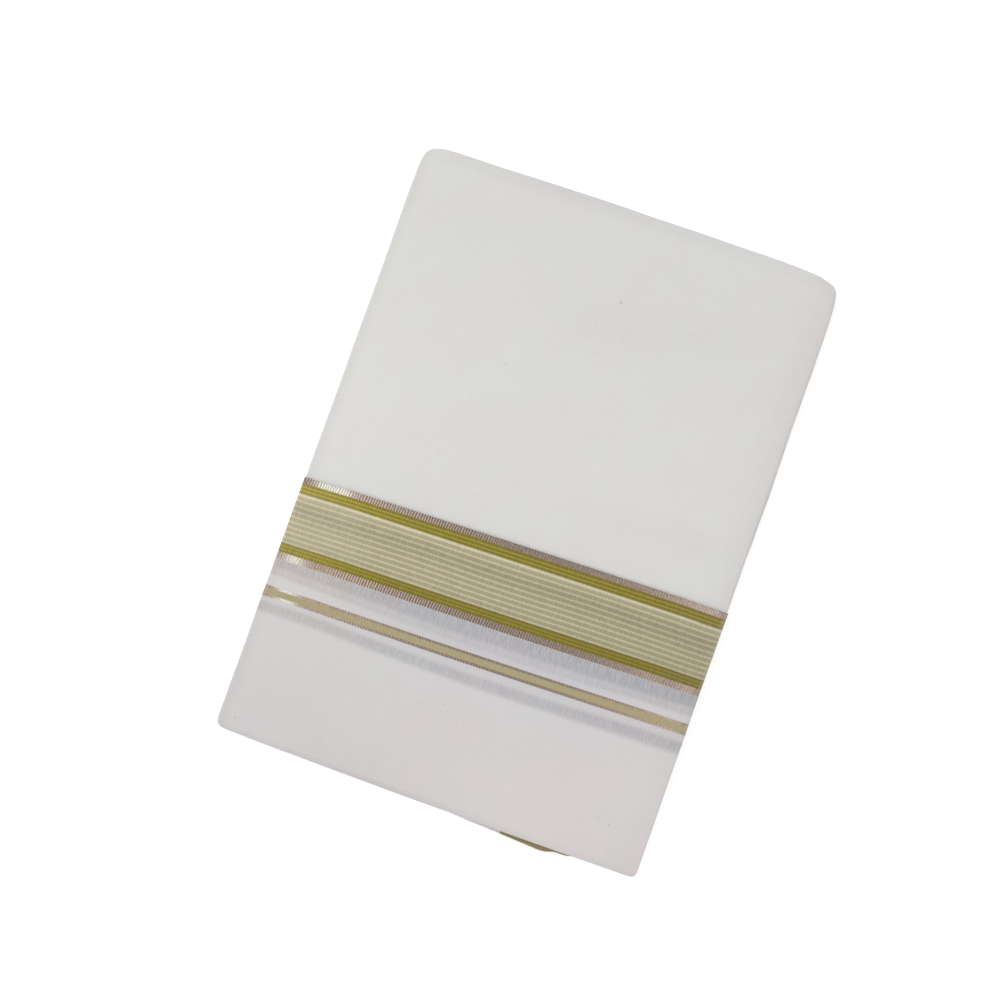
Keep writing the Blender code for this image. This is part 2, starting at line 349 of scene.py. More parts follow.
def panel_stations(spacing):
    """Up the front panel, round the top fold, down the back panel and round the lower bottom fold."""
    made = [station(FOLD_Y, FRONT, 0.0, 1.0, 0.0)]
    made += run(FOLD_Y, TOP_FOLD_Y, FRONT, 1.0, 0.0, spacing)
    made += turn(TOP_FOLD_Y, TOP_FOLD, TOP_FOLD - STRIP, 1, 90, -90, last(made), TOP_FOLD)
    made += run(TOP_FOLD_Y, FOLD_Y, BACK + STRIP, -1.0, last(made), spacing)
    made += turn(FOLD_Y, BOTTOM_FOLD, BOTTOM_FOLD - STRIP, 1, 270, 90, last(made), BOTTOM_FOLD)
    return made


def last(stations):
    return stations[-1]["along"]


def arc(x, depth, radius, start, stop, count):
    """Points of a section round a fold or an edge, from one angle to the other, in degrees."""
    angles = np.radians(np.linspace(start, stop, count + 1))
    return list(zip(x + radius * np.cos(angles), depth + radius * np.sin(angles)))


def wander(index, along):
    """How far an open edge lies in at a place along the cloth."""
    row = OPEN_EDGES[index]
    sway = sum(share * math.sin(along / (reach * MM) + phase * index) for reach, phase, share in EDGE_WAVES)
    return row["inset"] + row["wander"] * sway / EDGE_SWAY


def flap_skin(at):
    """The flap's outer ply: round the open fold on the right, over the top, and round the closed fold."""
    radius = OPEN_EDGES[0]["plies"] * PLY / 2
    right = HALF_WIDTH - wander(0, at["along"]) - radius
    left = -HALF_WIDTH + SIDE_FOLD
    points = [(right - FOLD_TUCK, 2 * radius)] + arc(right, radius, radius, 90, -90, NOSE_STEPS)
    points += [(x, 0.0) for x in steps(right, left, FLAP_SPACING)[1:-1]]
    points += arc(left, SIDE_FOLD, SIDE_FOLD, -90, -270, NOSE_STEPS)
    return points + [(left + TUCK_START, STRIP), (left + TUCK, STRIP)]


def panel_skin(at):
    """The panels' outer ply: its cut edge on the right, over the stretch, and round the closed fold."""
    right = HALF_WIDTH - wander(len(OPEN_EDGES) - 1, at["along"])
    inner = right - CUT_EDGE
    left = -HALF_WIDTH + SIDE_FOLD
    points = [(inner, STRIP - PLY), (right, STRIP - 0.5 * PLY), (inner, STRIP)]
    points += [(x, STRIP) for x in steps(inner, left, PANEL_SPACING)[1:-1]]
    points += arc(left, SIDE_FOLD, SIDE_FOLD, 90, 270, NOSE_STEPS)
    return points + [(left + TUCK_START, 0.0), (left + TUCK, 0.0)]


def ply_stack(at, covered):
    """Every ply of the strip: the open edges on the right and the closed fold on the left. covered is the
    side that the outer ply lies on, where the stack stays just under it."""
    skin = SKIN * (1 - at["bare"])
    outermost = 0 if covered == "upper" else len(OPEN_EDGES) - 1
    points, depth = [], 0.0
    for index, row in enumerate(OPEN_EDGES):
        radius = row["plies"] * PLY / 2
        under = skin if index == outermost else 0.0
        centre = HALF_WIDTH - wander(index, at["along"]) - radius - under
        share = EDGE_ROUND if under == 0 else COVERED_ROUND
        points += arc(centre, depth + radius, radius * share, -EDGE_ANGLE, EDGE_ANGLE, EDGE_STEPS)
        depth += 2 * radius
    flat = steps(HALF_WIDTH - STACK_SPACING, -HALF_WIDTH + STACK_SPACING, STACK_SPACING)
    high = UNDER_SKIN if covered == "upper" else BARE_SKIN
    low = STRIP - (UNDER_SKIN if covered == "lower" else BARE_SKIN)
    points += [(x, low) for x in flat]
    points += arc(-HALF_WIDTH + SIDE_FOLD, SIDE_FOLD, SIDE_FOLD - skin, 90, 270, NOSE_STEPS)
    points += [(x, high) for x in flat[::-1]]
    return points


def measured_along(a, b):
    """The length of a section from its first point to each of its points."""
    return np.concatenate([[0.0], np.cumsum(np.hypot(np.diff(a), np.diff(b)))])


def swept(sections, stations):
    """Rows of points in the packet, and of places on the cloth, for a section at each station."""
    rows, places = [], []
    for points, at in zip(sections, stations):
        x, depth = np.array(points).T
        y = at["y"] + at["in_y"] * depth + at["slope"] * x - at["bow"] * (x / HALF_WIDTH) ** 2
        y = y - at["tips"] * smooth((np.abs(x) - SELVEDGE_TIPS_START) / SELVEDGE_TIPS_REACH)
        z = at["z"] + at["in_z"] * depth
        rows.append(np.stack(packet(x, y, z), axis=1))
        lengths = measured_along(x, depth)
        middle = np.argmin(np.abs(x))
        across = lengths[middle] + x[middle] - lengths
        places.append(np.stack([across, np.full(len(x), at["along"])], axis=1))
    return np.array(rows), np.array(places)


def grid_piece(name, rows, places, look, closed=False, outward=True):
    """A mesh through rows of points. Its places on the cloth are a UV map, and its tones with their painted
    shade, its places in the border and the painted gleam of its metallic thread are on its vertices."""
    count, wide = rows.shape[:2]
    faces, columns = [], wide if closed else wide - 1
    for i in range(count - 1):
        for j in range(columns):
            k = (j + 1) % wide
            face = (i * wide + j, i * wide + k, (i + 1) * wide + k, (i + 1) * wide + j)
            faces.append(face if outward else face[::-1])
    points, flat_places = rows.reshape(-1, 3), places.reshape(-1, 2)
    mesh = bpy.data.meshes.new(name)
    mesh.from_pydata(points.tolist(), [], faces)
    index = np.zeros(len(mesh.loops), np.int32)
    mesh.loops.foreach_get("vertex_index", index)
    mesh.uv_layers.new(name="cloth").data.foreach_set("uv", flat_places[index].astype(np.float32).ravel())
    tone_and_shade = mesh.attributes.new("tone_and_shade", "FLOAT_COLOR", "POINT")
    tone_and_shade.data.foreach_set("color", tones_and_shade(points).astype(np.float32).ravel())
    border = mesh.attributes.new("border", "FLOAT_VECTOR", "POINT")
    border.data.foreach_set("vector", border_places(points, flat_places).astype(np.float32).ravel())
    mesh.shade_smooth()
    mesh.update()
    piece = bpy.data.objects.new(name, mesh)
    bpy.context.scene.collection.objects.link(piece)
    mesh.materials.append(look)
    return piece


# Faint patches of the cloth, partly its own uneven tint and partly painted shade and light of its swells
# and creases: middle and reach in x and y, in millimetres, and what they add to red, green and blue
TINT_AND_SHADE_PATCHES = (
    (-90, 118, 55, 70, (0.004, 0.004, -0.012)),
    (0, 160, 160, 34, (-0.018, -0.018, -0.012)),
    (-10, 25, 110, 55, (0.018, 0.014, 0.020)),
    (11, 116, 32, 14, (-0.028, -0.028, -0.026)),
    (60, 127, 22, 12, (-0.020, -0.020, -0.018)),
    (74, 90, 18, 13, (0.004, -0.018, -0.010)),
    (48, 9, 24, 9, (0.004, -0.022, -0.012)),
    (-110, 10, 40, 60, (0.030, 0.028, 0.026)),
    (40, -86, 90, 22, (-0.012, -0.004, 0.026)),
    (-85, 148, 45, 18, (-0.012, -0.010, -0.018)),
    (122, 125, 14, 48, (-0.018, -0.022, -0.020)),
    (70, 74, 45, 26, (0.010, 0.010, 0.010)),
    (62, 31, 60, 11, (0.016, 0.014, 0.014)),
    (92, 14, 24, 8, (-0.018, -0.022, -0.022)),
    (-40, 80, 14, 26, (0.009, 0.009, 0.006)),
    (-90, -120, 45, 22, (-0.014, 0.014, 0.000)),
    (30, -114, 110, 8, (-0.018, 0.010, 0.008)),
    (112, -126, 26, 20, (0.014, 0.024, 0.018)),
    (-105, -160, 50, 30, (-0.040, -0.030, -0.026)),
    (-50, -172, 34, 16, (-0.020, -0.030, -0.026)),
    (52, -160, 40, 24, (0.030, 0.006, 0.014)),
    (52, -176, 30, 10, (0.016, 0.012, 0.016)),
    (100, -150, 60, 30, (0.024, 0.008, 0.014)),
)
WARMTH_SHARE = 0.005
COOLNESS_SHARE = 0.004
# Painted shade of the flap: its cotton darker and pinker than the panels'
FLAP_SHADE = (0.950, 0.914, 0.932)

# Painted shade at the rims: how wide in millimetres, and what it adds to red, green and blue
RIGHT_RIM_SHADE = (19, (-0.045, -0.075, -0.070))
LEFT_RIM_SHADE = (8, (-0.10, -0.10, -0.10))
TOP_RIM_SHADE = (12, (-0.13, -0.13, -0.12))
TOP_SHADE_SHARES = ((-128, 0.8), (-96, 1.05), (-60, 1.2), (-38, 1.3), (19, 1.0), (76, 0.85), (128, 0.75))
BOTTOM_RIM_SHADE = (6, (-0.13, -0.14, -0.13))
BOTTOM_SHADE_SHARES = ((-128, 1.0), (-96, 1.1), (-38, 1.5), (19, 0.5), (60, 0.2), (128, 0.2))

# The outline that those rims follow, in millimetres
TONE_RIGHT = 128.5
TONE_LEFT = -128
TONE_TAPER = 3.4
TONE_TOP = 184
TONE_TOP_DROP = 3.2
TONE_BOTTOM = -180
TONE_WIDTH = 257
TONE_HALF_LENGTH = 181


def tones_and_shade(points):
    """What each point's cotton is multiplied by: its tint, painted shade at the rims, and painted shade and
    light in patches.
    """
    x, y = points[:, 0] / MM, points[:, 1] / MM
    made = np.ones((len(points), 4))
    # Uneven tint, and painted shade and light, in faint patches
    for at_x, at_y, wide, long, change in TINT_AND_SHADE_PATCHES:
        reach = np.exp(-(((x - at_x) / wide) ** 2) - ((y - at_y) / long) ** 2)
        made[:, :3] += reach[:, None] * np.array(change)
    warm, cool = WARMTH_SHARE * rise(WARMTH, x, y), COOLNESS_SHARE * rise(COOLNESS, x, y)
    made[:, :3] += np.stack([warm, -warm, cool - 0.5 * warm], axis=1)
    left = TONE_LEFT + TONE_TAPER * (y + TONE_HALF_LENGTH) / (2 * TONE_HALF_LENGTH)
    leftness = np.clip(0.5 - x / TONE_WIDTH, 0, 1)
    top = TONE_TOP - TONE_TOP_DROP * leftness**2
    # Painted shade along the four rims
    for (wide, change), inside, share in (
        (RIGHT_RIM_SHADE, TONE_RIGHT - x, 0.4 + 0.6 * smooth((y + 70) / 60)),
        (LEFT_RIM_SHADE, x - left, 1.0),
        (TOP_RIM_SHADE, top - y, np.interp(x, *np.array(TOP_SHADE_SHARES).T)),
        (BOTTOM_RIM_SHADE, y - TONE_BOTTOM, np.interp(x, *np.array(BOTTOM_SHADE_SHARES).T)),
    ):
        rim = share * np.clip(1 - inside / wide, 0, 1) ** 1.5
        made[:, :3] += rim[:, None] * np.array(change)
    return made


# Painted highlight and shade of the metallic thread along the border: x in millimetres, and the share
GLEAM = (
    (-126, 0.92),
    (-92, 1.02),
    (-84, 0.98),
    (-44, 0.74),
    (0, 0.63),
    (42, 0.65),
    (82, 0.80),
    (108, 1.06),
    (117, 1.16),
    (123, 1.12),
    (126, 0.85),
)

# Painted glints and painted shade: millimetres below the selvedge, x, the reach in x, and the change
GLINTS = (
    (2, -109, 9, 1.5),
    (0, -128, 6, -0.3),
    (49, -117, 7, 0.75),
    (49, 62, 28, -0.055),
    (49, 110, 9, -0.2),
    (71, -114, 7, 0.95),
)
GLINT_DEPTH = 10

# The upper grey band gets fainter past a curve: its place below the selvedge in millimetres, its slope and
# its bow
UPPER_BAND = (59.6, 0.008, -0.00016)

# The lower grey band: x, its middle below the selvedge and half its width, in millimetres
LOWER_BAND = (
    (-125, 80.9, 3.0),
    (-96, 80.8, 3.1),
    (-60, 81.9, 3.2),
    (-30, 82.4, 3.2),
    (0, 83.1, 3.3),
    (30, 83.1, 3.4),
    (60, 82.95, 3.3),
    (90, 82.6, 3.45),
    (122, 82.45, 3.4),
)


def border_places(points, places):
    """How far past the curve of the upper grey band each point is, in millimetres, how far from the middle of
    the lower one, where 1 is its edge, and the gleam of the metallic thread, its painted highlight and shade."""
    x, below = points[:, 0] / MM, places[:, 1] / MM
    place, slope, bow = UPPER_BAND
    first = below - (place + slope * x + bow * x**2)
    at_x, middle, half = np.array(LOWER_BAND).T
    second = (below - np.interp(x, at_x, middle)) / np.interp(x, at_x, half)
    gleam = np.interp(x, *np.array(GLEAM).T)
    for at_below, at_x, reach, change in GLINTS:
        near = np.exp(-(((x - at_x) / reach) ** 2) - ((below - at_below) / GLINT_DEPTH) ** 2)
        gleam = gleam + change * near
    return np.stack([first, second, gleam], axis=1)


# Materials


class Look:
    """Builds a material's nodes, one call for each."""

    def __init__(self, name):
        self.material = bpy.data.materials.new(name)
        self.material.use_nodes = True
        self.nodes = self.material.node_tree.nodes
        self.links = self.material.node_tree.links
        self.shader = self.nodes["Principled BSDF"]

    def put(self, socket, value):
        if isinstance(value, bpy.types.NodeSocket):
            self.links.new(value, socket)
        elif value is not None:
            socket.default_value = value

    def surface(self, **values):
        """Sets inputs of the shader, each by its name with underscores for spaces."""
        for name, value in values.items():
            self.put(self.shader.inputs[name.replace("_", " ")], value)

    def math(self, operation, a, b=None, c=None, clamp=False):
        node = self.nodes.new("ShaderNodeMath")
        node.operation = operation
        node.use_clamp = clamp
        for socket, value in zip(node.inputs, (a, b, c)):
            self.put(socket, value)
        return node.outputs[0]

    def times(self, value, by):
        return self.math("MULTIPLY", value, by)

    def changed(self, value, by, plus):
        return self.math("MULTIPLY_ADD", value, by, plus)

    def about(self, value, by):
        """A change in step with a value: 0 where that is 0.5, and by in all between its 0 and its 1."""
        return self.changed(value, by, -by / 2)

    def wave(self, value, length, phase=0.0):
        """A sine that repeats after each length."""
        return self.math("SINE", self.changed(value, 2 * math.pi / length, phase))

    def cloth(self):
        """Places on the cloth in millimetres: across it, and along it from the selvedge."""
        uv = self.nodes.new("ShaderNodeUVMap")
        uv.uv_map = "cloth"
        across, along, _ = self.parts(uv.outputs[0])
        return self.times(across, 1 / MM), self.times(along, 1 / MM)

    def attribute(self, name, output):
        node = self.nodes.new("ShaderNodeAttribute")
        node.attribute_name = name
        return node.outputs[output]

    def parts(self, vector):
        node = self.nodes.new("ShaderNodeSeparateXYZ")
        self.links.new(vector, node.inputs[0])
        return node.outputs[0], node.outputs[1], node.outputs[2]

    def measure(self, operation, a, b):
        """A vector operation, all of its outputs."""
        node = self.nodes.new("ShaderNodeVectorMath")
        node.operation = operation
        self.put(node.inputs[0], a)
        self.put(node.inputs[1], b)
        return node.outputs

    def grain(self, across, along, fine, offset=0.0, detail=2.0, rough=0.5):
        """Noise over the cloth. fine is how often it changes in a millimetre, across and along."""
        place = self.nodes.new("ShaderNodeCombineXYZ")
        values = (self.times(across, fine[0]), self.times(along, fine[1]), offset)
        for socket, value in zip(place.inputs, values):
            self.put(socket, value)
        node = self.nodes.new("ShaderNodeTexNoise")
        self.put(node.inputs["Vector"], place.outputs[0])
        self.put(node.inputs["Scale"], 1.0)
        self.put(node.inputs["Detail"], detail)
        self.put(node.inputs["Roughness"], rough)
        return node.outputs[0]

    def span(self, value, low, high, start=0.0, stop=1.0):
        """start below low, stop above high, and a soft step between."""
        node = self.nodes.new("ShaderNodeMapRange")
        node.interpolation_type = "SMOOTHSTEP"
        for socket, number in zip(node.inputs, (value, low, high, start, stop)):
            self.put(socket, number)
        return node.outputs[0]

    def band(self, value, low, high, soft):
        """1 from low to high and 0 elsewhere, with soft edges."""
        rising = self.span(value, low - soft, low + soft)
        falling = self.span(value, high - soft, high + soft, 1.0, 0.0)
        return self.times(rising, falling)

    def total(self, *values):
        made = values[0]
        for value in values[1:]:
            made = self.math("ADD", made, value)
        return made

    def mix(self, share, a, b, blend="MIX"):
        node = self.nodes.new("ShaderNodeMix")
        node.data_type = "RGBA"
        node.blend_type = blend
        node.clamp_factor = True
        self.put(node.inputs[0], share)
        for socket, value in ((node.inputs[6], a), (node.inputs[7], b)):
            self.put(socket, (*value, 1.0) if isinstance(value, tuple) else value)
        return node.outputs[2]

    def tinted(self, colour, tint):
        """One colour multiplied by another."""
        return self.mix(1.0, colour, tint, "MULTIPLY")

    def shaded(self, colour, shade):
        """A colour multiplied by a number, the same for its three channels."""
        node = self.nodes.new("ShaderNodeCombineColor")
        for socket in node.inputs:
            self.put(socket, shade)
        return self.tinted(colour, node.outputs[0])

    def bump(self, height, distance):
        node = self.nodes.new("ShaderNodeBump")
        self.put(node.inputs["Height"], height)
        self.put(node.inputs["Distance"], distance)
        self.put(node.inputs["Strength"], 1.0)
        self.links.new(node.outputs[0], self.shader.inputs["Normal"])


def linear(red, green, blue):
    """A colour as it looks on a screen, 0 to 255, as the linear one that a shader takes."""
    made = []
    for value in (red, green, blue):
        value /= 255
        made.append(value / 12.92 if value <= 0.04045 else ((value + 0.055) / 1.055) ** 2.4)
    return tuple(made)


# Numbers for the materials. A tuple for span holds low, high, start and stop, or low and high alone. One for
# band holds low, high and how soft its edges are, and one for changed holds a factor and what is added. Low
# and high are millimetres where they are across or along the cloth, and else in the units of the value that
# they bound. The tables whose names end in GRAIN are for grain.

# The cotton: its thread, its colours, its noise and its relief
THREAD = 0.36
COTTON = linear(214, 213, 211)
UPRIGHT_GRAIN = {"fine": (1.7, 0.09), "detail": 3}
LEVEL_GRAIN = {"fine": (0.08, 1.5), "offset": 7.0, "detail": 3}
UPRIGHT_SHARE = 0.6
LEVEL_SHARE = 0.4
COTTON_SLUBS = (0.09, 0.94)
COTTON_WEAVE = 0.03
LAYERED_SLUBS = (0.3, 0.78)
SLUB_RELIEF = 1.5
RELIEF = 0.00006

# Specks of seed husk: x and y in millimetres, and how dark each is. They lie on the upper side alone, and a
# height counts for less, so that they stay on it where it swells.
SPECKS = (
    (11.2, 129.8, 0.52),
    (-40.1, 74.0, 0.20),
    (-119.0, -168.0, 0.38),
    (-8.7, -121.4, 0.22),
    (-2.3, -164.4, 0.17),
    (96.0, -154.1, 0.30),
    (103.7, -155.3, 0.34),
)
SPECK_COLOUR = linear(158, 152, 146)
SPECK_SIZE = (0.2, 1.15)
SPECK_HEIGHT = 15.0
HEIGHT_SHARE = 0.12


def weave(look, across, along):
    """Plain weave as a height from 0 to 1, and the uneven threads of it as a shade about 0.5."""
    height = look.changed(look.times(look.wave(across, THREAD), look.wave(along, THREAD)), 0.5, 0.5)
    upright = look.grain(across, along, **UPRIGHT_GRAIN)
    level = look.grain(across, along, **LEVEL_GRAIN)
    return height, look.changed(upright, UPRIGHT_SHARE, look.times(level, LEVEL_SHARE))


def relief(look, height, slubs, *more):
    look.bump(look.total(height, look.times(slubs, SLUB_RELIEF), *more), RELIEF)


def cotton_colour(look, height, slubs, base):
    """Cotton in its tones and painted shade, with threads that differ a little and a few specks of seed husk.
    """
    colour = look.tinted(base, look.attribute("tone_and_shade", "Color"))
    shade = look.total(look.changed(slubs, *COTTON_SLUBS), look.times(height, COTTON_WEAVE))
    colour = look.shaded(colour, shade)
    place = look.nodes.new("ShaderNodeTexCoord").outputs["Object"]
    place = look.measure("MULTIPLY", place, (1 / MM, 1 / MM, HEIGHT_SHARE / MM))[0]
    marks = []
    for x, y, strength in SPECKS:
        apart = look.measure("DISTANCE", place, (x, y, SPECK_HEIGHT * HEIGHT_SHARE))["Value"]
        marks.append(look.span(apart, *SPECK_SIZE, strength, 0.0))
    return look.mix(look.total(*marks), colour, SPECK_COLOUR)


def white_cotton():
    look = Look("white_cotton")
    height, slubs = weave(look, *look.cloth())
    look.surface(Base_Color=cotton_colour(look, height, slubs, COTTON), Roughness=0.88, Sheen_Weight=0.12)
    relief(look, height, slubs)
    return look.material


def layered_cotton():
    look = Look("layered_cotton")
    height, slubs = weave(look, *look.cloth())
    look.surface(Base_Color=look.shaded(COTTON, look.changed(slubs, *LAYERED_SLUBS)), Roughness=0.9)
    relief(look, height, slubs)
    return look.material


# The border's stripes, below the selvedge, and how soft their edges are
ZARI_BANDS = ((0.0, 3.9), (46.85, 51.1))
FINE_ZARI = ((67.9, 69.4), (73.1, 74.75))
OLIVE_BANDS = ((3.4, 10.1), (41.1, 47.3))
OLIVE_LINES = (5.9, 8.2, 42.9, 44.9)
CREAM_BAND = (10.0, 41.2)
KHAKI_BAND = (69.1, 73.4)
SHOW_THROUGH = (51.2, 67.8)
ZARI_SOFT = 0.2
STRIPE_SOFT = 0.25
SHOW_THROUGH_SOFT = 0.35

OLIVE_DARK = linear(123, 111, 22)
OLIVE_LIGHT = linear(163, 151, 75)
# The greyer olive that the stripes turn to at both ends
OLIVE_GREYED = linear(146, 138, 118)
CREAM_DARK = linear(163, 155, 121)
CREAM_LIGHT = linear(193, 186, 163)
CREAM_PALEST = linear(206, 201, 184)
KHAKI = linear(168, 157, 121)
ZARI_DARK = linear(122, 98, 84)
ZARI_LIGHT = linear(207, 189, 175)
ZARI_GLINT = linear(244, 241, 230)
HAZE = linear(186, 180, 180)
SHADOW_LEFT = (0.637, 0.602, 0.586)
SHADOW_RIGHT = (0.523, 0.546, 0.588)

# The uneven threads that cross the stripes, the fine ones that stand out, and the metallic thread's ribs
STREAK_GRAIN = {"fine": (0.95, 0.14), "offset": 2.0, "rough": 0.6}
STREAK = (0.33, 0.67)
FINE_THREAD = 1.33
FINE_THREAD_LEAN = (44, 52, -0.03, -0.2)
FINE_THREAD_PIVOT = 48
FINE_THREAD_WANDER = 8.0
FINE_THREAD_CLEAR = (0.3, 0.65, 0.35, 1.0)
FINE_THREAD_LEFT = (-95, -60, 0.3, 1.0)
WANDER_GRAIN = {"fine": (0.12, 0.22), "offset": 21.0, "detail": 1}
CLEAR_GRAIN = {"fine": (0.2, 0.3), "offset": 27.0}
RIB = 1.6
RIB_LEAN = 0.35
RIB_WANDER = 5.0
RIB_GRAIN = {"fine": (0.22, 0.12), "detail": 1}
RIB_RAGGED = 0.12
RIB_RELIEF = 2.0

# The show-through: the span from its left colour to its right one, how deep it is, what it loses past the
# curve of the upper band and past a next step, the lower band, and the faint trail round that
RIGHTNESS = (-125, -30)
SHADOW_DEPTH = 1.01
FIRST_STEP = (-1.5, 1.5)
FIRST_LOSS = 0.43
NEXT_STEP = (3.6, 6.4)
NEXT_LOSS = (-0.30, 0.58)
NEXT_LOSS_FAR = (45, 105, 0.0, 0.20)
LOWER_BAND_EDGE = (-1.0, 1.0, 0.58)
LOWER_BAND_DEPTH = 0.66
TRAIL_START = (73, 74)
TRAIL_DEPTH = (74, 90, 0.24, 0.0)
SHADOW_STREAK = (0.38, 0.81)
SHADOW_THREADS = 0.27
SHADOW_STRENGTH = (0, 125, 0.65, 0.75)

# The cream band: its paler lines, which drift in waves across the cloth, and its shading, with painted shade
# where the folds beneath shade it and painted light at its top
LINE_START = 11.2
LINE_PITCH = 3.52
LINE_TIGHTER = 0.0085
LINE_WAVE = 105
LINE_DRIFT = 0.25
LINE_DRIFT_START = (12, 16)
LINE_DRIFT_STOP = (30, 38, 1.0, 0.4)
LINE_EDGE = (0.04, 0.27, 1.0, 0.0)
CREAM_LEFT = (-105, -65, 0.2, 0.0)
CREAM_PALEST_EDGE = (10.6, 12.6, 1.0, 0.0)
CREAM_PALEST_SHARE = 0.22
FOLD_SHADE_MIDDLE = (0.004, 19.4)
FOLD_SHADE_REACH = 6.0
FOLD_SHADE = -0.13
CREAM_TOP_LIGHT = (10, 19, 1.13, 1.0)
CREAM_LOW = (33, 38, 0.0, -0.035)
CREAM_END = (39.4, 41, 0.0, -0.06)
CREAM_STREAK = 0.12
CREAM_THREADS = 0.13
CREAM_SLUBS = 0.3
CREAM_PATCHES = 0.22
CREAM_GRAIN = {"fine": (0.35, 0.9), "offset": 4.0, "detail": 3}
SLUB_GRAIN = {"fine": (1.1, 0.16), "offset": 11.0}
SLUB_FROM = (0.64, 0.74)
SLUB_SHADE = -0.14
NICK_GRAIN = {"fine": (1.9, 0.9), "offset": 15.0, "detail": 1}
NICK_FROM = (0.66, 0.74)
NICK_SHADE = -0.13

# The olive stripes: their paler lines, their ribs, and their shading, with a painted sheen on the left
OLIVE_LINE_HALF = 0.35
OLIVE_LINE_SHARE = (35, 40, 0.78, 0.56)
OLIVE_RIBS = (-80, 0, 0.09, 0.03)
OLIVE_RIB_SHADE = 0.9
OLIVE_STREAK = (0.22, 0.9)
OLIVE_LEFT_SHEEN = (-118, -50, 1.26, 1.0)
OLIVE_LOWER = (35, 40, 1.0, 0.92)
OLIVE_ENDS = (85, 125, 0.0, 0.12)

# The metallic thread: its twist, its sparkle, how deep its ribs are on the left and lose on the right, in the
# upper stripe, in the lower one and in the two fine ones, and its painted highlight and glints
TWIST = 0.52
TWIST_SHARE = 0.13
SPARKLE_GRAIN = {"fine": (0.9, 0.5), "offset": 9.0, "detail": 3, "rough": 0.7}
SPARKLE = (1.3, -0.17)
UPPER_RIBS = ((-95, -75, 0.42, 0.57), (-30, 5, 0.0, 0.42))
LOWER_RIBS = ((-105, -80, 0.17, 0.52), (-30, 60, 0.0, 0.35))
LOWER_RIBS_START = (20, 30)
FINE_RIBS = (60, 65, 1.0, 0.55)
MOST_GLEAM = 1.1
GLINT_GLEAM = (1.0, 1.9)
GLINT_SHARE = (0.1, 0.8, 0.35, 1.0)

# The painted sheen that cream and olive lose from left to right, the khaki's threads, the border's hazy right
# end, and how the surface of cloth and metal shines
BORDER_SHEEN_SLOPE = (-0.0006, 1.0)
KHAKI_STREAK = (0.12, 0.94)
HAZE_ALONG = (-1.0, 75.0, 0.5)
HAZE_ACROSS = (126.8, 129.5, 1.8)
HAZE_SHARE = 0.28
ZARI_METALLIC = 0.35
ZARI_ROUGHNESS = (0.0, 1.0, 0.86, 0.45)


def fine_threads(look, across, along):
    """The fine upright threads that stand out: a wave that leans lower down, wanders, and fades in places."""
    wandering = look.times(look.grain(across, along, **WANDER_GRAIN), FINE_THREAD_WANDER)
    lean = look.span(along, *FINE_THREAD_LEAN)
    leaning = look.changed(look.math("SUBTRACT", along, FINE_THREAD_PIVOT), lean, across)
    clear = look.span(look.grain(across, along, **CLEAR_GRAIN), *FINE_THREAD_CLEAR)
    clear = look.times(clear, look.span(across, *FINE_THREAD_LEFT))
    return look.times(look.wave(leaning, FINE_THREAD, wandering), clear)


def leaning_ribs(look, across, along):
    """The ribs across the metallic thread, which lean and wander."""
    wandering = look.times(look.grain(across, along, **RIB_GRAIN), RIB_WANDER)
    return look.wave(across, RIB, look.changed(along, RIB_LEAN, wandering))


def show_through(look, across, along, first, second, streak, threads, ground):
    """Soft grey bands where the border of the ply beneath shows through the thin white cotton."""
    rightness = look.span(across, *RIGHTNESS)
    past_first = look.times(look.span(first, *FIRST_STEP), FIRST_LOSS)
    share = look.math("ADD", look.changed(rightness, *NEXT_LOSS), look.span(across, *NEXT_LOSS_FAR))
    past_next = look.times(look.span(first, *NEXT_STEP), share)
    depth = look.math("SUBTRACT", look.math("SUBTRACT", SHADOW_DEPTH, past_first), past_next)
    depth = look.times(depth, look.band(along, *SHOW_THROUGH, SHOW_THROUGH_SOFT))
    depth = look.changed(look.band(second, *LOWER_BAND_EDGE), LOWER_BAND_DEPTH, depth)
    depth = look.changed(look.span(along, *TRAIL_DEPTH), look.span(along, *TRAIL_START), depth)
    uneven = look.total(look.changed(streak, *SHADOW_STREAK), look.times(threads, SHADOW_THREADS))
    depth = look.times(look.times(depth, uneven), look.span(across, *SHADOW_STRENGTH))
    shadow = look.mix(rightness, SHADOW_LEFT, SHADOW_RIGHT)
    return look.mix(depth, ground, look.tinted(ground, shadow))


